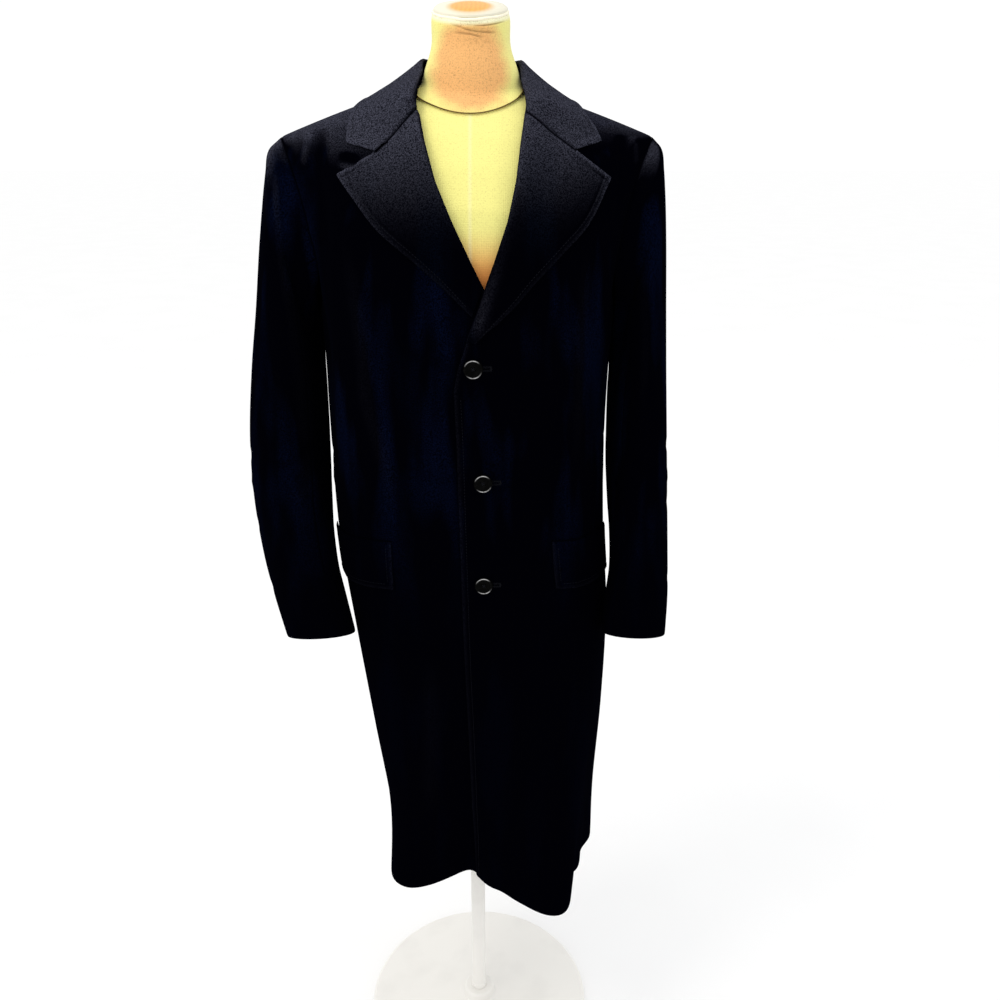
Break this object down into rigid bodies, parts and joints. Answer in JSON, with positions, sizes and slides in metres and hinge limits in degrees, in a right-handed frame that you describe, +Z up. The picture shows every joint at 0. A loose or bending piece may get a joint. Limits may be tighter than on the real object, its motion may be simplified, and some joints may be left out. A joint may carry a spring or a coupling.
{
  "type": "single-breasted notch-lapel overcoat on a limbless dress form",
  "caption": "Long single-breasted wool overcoat with notch lapels, flap pockets and set-in sleeves, worn by a limbless covered dress form on a pole with a round base.",
  "frame": {"origin": "middle of the base plate's underside, on the floor", "axes": "+Z up, -Y the way the coat faces, +X the wearer's left"},
  "size_m": [0.5959, 0.4, 1.698],
  "materials": {
    "wool": "felted melton wool, short nap, near-black navy",
    "button": "polished dark resin, like horn",
    "form_cover": "plain-woven natural linen, drawn tight",
    "neck_cap": "turned beech, satin lacquer",
    "pole": "pale stoved enamel on steel tube",
    "base": "pale stoved enamel on cast metal"
  },
  "bodies": {
    "root": {"front_left": "wool", "front_right": "wool", "back_left": "wool", "back_right": "wool", "top_sleeve_left": "wool", "top_sleeve_right": "wool", "under_sleeve_left": "wool", "under_sleeve_right": "wool", "lapel_left": "wool", "lapel_right": "wool", "collar": "wool", "pocket_flap_left": "wool", "pocket_flap_right": "wool", "front_button_1": "button", "front_button_2": "button", "front_button_3": "button", "cuff_button_left_1": "button", "cuff_button_left_2": "button", "cuff_button_left_3": "button", "cuff_button_right_1": "button", "cuff_button_right_2": "button", "cuff_button_right_3": "button", "form_torso": "form_cover", "neck_cap": "neck_cap", "pole": "pole", "base_plate": "base"}
  },
  "joints": []
}
